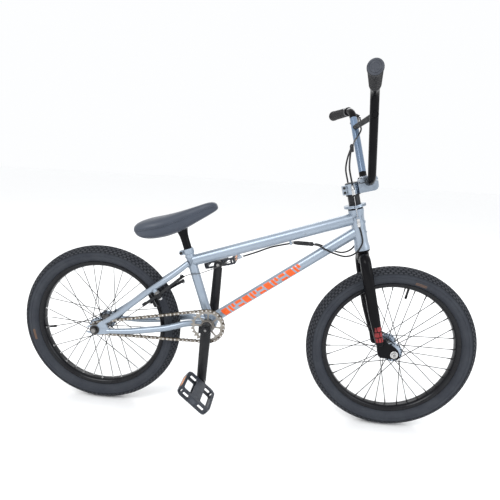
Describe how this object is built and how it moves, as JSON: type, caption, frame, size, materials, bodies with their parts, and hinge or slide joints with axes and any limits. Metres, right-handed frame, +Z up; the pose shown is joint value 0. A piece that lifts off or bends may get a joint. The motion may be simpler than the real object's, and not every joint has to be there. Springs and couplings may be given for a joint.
{
  "type": "bmx bicycle",
  "caption": "Rigid BMX bicycle with high-rise crossbar handlebars, rotor headset, rear U-brake, chain drive, three-piece cranks, platform pedals and spoked wheels.",
  "frame": {"origin": "on the ground, midway between the two wheel axles, in the plane of the frame", "axes": "+X forward, +Y to the rider's left, +Z up"},
  "size_m": [1.4306, 0.729, 0.9975],
  "materials": {
    "frame_paint": "satin metallic silver blue",
    "black_paint": "gloss black",
    "steel": "brushed",
    "dark_steel": "darkened",
    "chain_steel": "brown grey, oiled",
    "alloy": "satin",
    "black_alloy": "black anodised",
    "tyre": "matt dark blue black",
    "grip_rubber": "matt ribbed",
    "pad_rubber": "matt grey",
    "pedal_plastic": "matt black",
    "saddle_cover": "smooth dark blue grey",
    "cable_sleeve": "black sleeve"
  },
  "bodies": {
    "frame": {"head_tube": "frame_paint", "top_tube": "frame_paint", "down_tube": "frame_paint", "seat_tube": "frame_paint", "bb_shell": "frame_paint", "bb_bearing_right": "steel", "bb_bearing_left": "steel", "chain_stay_right": "frame_paint", "chain_stay_left": "frame_paint", "seat_stay_right": "frame_paint", "seat_stay_left": "frame_paint", "seat_post": "black_paint", "saddle": "saddle_cover", "rear_axle": "steel", "rear_axle_nut_right": "dark_steel", "rear_axle_nut_left": "dark_steel", "chain": "chain_steel", "headset_bearing_lower": "steel", "headset_bearing_upper": "steel", "lower_brake_cable": "cable_sleeve", "brake_wire": "steel"},
    "steering": {"fork_steerer": "black_paint", "fork_leg_right": "black_paint", "fork_leg_left": "black_paint", "headset_spacer": "black_alloy", "rotor_top_plate": "black_alloy", "stem_body": "alloy", "stem_lid": "alloy", "handlebar": "black_paint", "grip_right": "grip_rubber", "grip_left": "grip_rubber", "brake_lever_bracket": "black_alloy", "upper_brake_cable": "cable_sleeve", "front_axle": "steel", "front_axle_nut_right": "dark_steel", "front_axle_nut_left": "dark_steel"},
    "front_wheel": {"front_tyre": "tyre", "front_rim": "black_alloy", "front_spokes_right": "steel", "front_spokes_left": "steel", "front_hub": "alloy"},
    "rear_wheel": {"rear_tyre": "tyre", "rear_rim": "black_alloy", "rear_spokes_right": "dark_steel", "rear_spokes_left": "dark_steel", "rear_hub": "alloy"},
    "driver": {"rear_driver": "dark_steel"},
    "cranks": {"crank_spindle": "dark_steel", "crank_arm_right": "black_paint", "crank_arm_left": "black_paint", "sprocket": "chain_steel"},
    "pedal_r": {"pedal_right": "pedal_plastic"},
    "pedal_l": {"pedal_left": "pedal_plastic"},
    "rotor_up": {"rotor_upper": "alloy"},
    "rotor_low": {"rotor_lower": "alloy"},
    "lever": {"brake_lever": "black_alloy"},
    "brake_l": {"brake_arm_left": "black_alloy", "brake_pad_left": "pad_rubber"},
    "brake_r": {"brake_arm_right": "black_alloy", "brake_pad_right": "pad_rubber"}
  },
  "joints": [
    {"name": "steer", "type": "hinge", "parent": "frame", "child": "steering", "pos_m": [0.42739, 0, 0.24872], "axis": [-0.2588, 0, 0.9659], "continuous": true},
    {"name": "front_wheel_spin", "type": "hinge", "parent": "steering", "child": "front_wheel", "pos_m": [0.4583, 0, 0.257], "axis": [0, 1, 0], "continuous": true},
    {"name": "rear_wheel_spin", "type": "hinge", "parent": "frame", "child": "rear_wheel", "pos_m": [-0.4583, 0, 0.257], "axis": [0, 1, 0], "continuous": true},
    {"name": "crank_spin", "type": "hinge", "parent": "frame", "child": "cranks", "pos_m": [-0.106, 0, 0.2925], "axis": [0, 1, 0], "continuous": true},
    {"name": "driver_spin", "type": "hinge", "parent": "frame", "child": "driver", "pos_m": [-0.4583, 0, 0.257], "axis": [0, 1, 0], "continuous": true},
    {"name": "pedal_right_spin", "type": "hinge", "parent": "cranks", "child": "pedal_r", "pos_m": [-0.1146, -0.14, 0.12272], "axis": [0, 1, 0], "continuous": true},
    {"name": "pedal_left_spin", "type": "hinge", "parent": "cranks", "child": "pedal_l", "pos_m": [-0.0974, 0.14, 0.46228], "axis": [0, 1, 0], "continuous": true},
    {"name": "brake_lever_squeeze", "type": "hinge", "parent": "steering", "child": "lever", "pos_m": [0.32147, 0.209, 0.96156], "axis": [0.4429, 0.0654, 0.8942], "range_deg": [0, 18], "stiffness_Nm_per_rad": 0.6, "springref_deg": -20.05},
    {"name": "rotor_upper_lift", "type": "slide", "parent": "steering", "child": "rotor_up", "axis": [-0.2588, 0, 0.9659], "range_m": [0, 0.0046]},
    {"name": "rotor_lower_lift", "type": "slide", "parent": "frame", "child": "rotor_low", "axis": [-0.2588, 0, 0.9659], "range_m": [0, 0.0046]},
    {"name": "brake_arm_left_close", "type": "hinge", "parent": "frame", "child": "brake_l", "pos_m": [-0.278, 0.045, 0.401], "axis": [0.6198, 0, -0.7848], "range_deg": [-3.75, 0]},
    {"name": "brake_arm_right_close", "type": "hinge", "parent": "frame", "child": "brake_r", "pos_m": [-0.278, -0.045, 0.401], "axis": [0.6198, 0, -0.7848], "range_deg": [0, 3.75]}
  ],
  "couplings": [
    {"joint": "driver_spin", "follows": "crank_spin", "ratio": 2.7778},
    {"joint": "rotor_upper_lift", "follows": "brake_lever_squeeze", "m_per_rad": 0.014324},
    {"joint": "rotor_lower_lift", "follows": "brake_lever_squeeze", "m_per_rad": 0.014324},
    {"joint": "brake_arm_left_close", "follows": "brake_lever_squeeze", "ratio": -0.20556},
    {"joint": "brake_arm_right_close", "follows": "brake_lever_squeeze", "ratio": 0.20556}
  ]
}
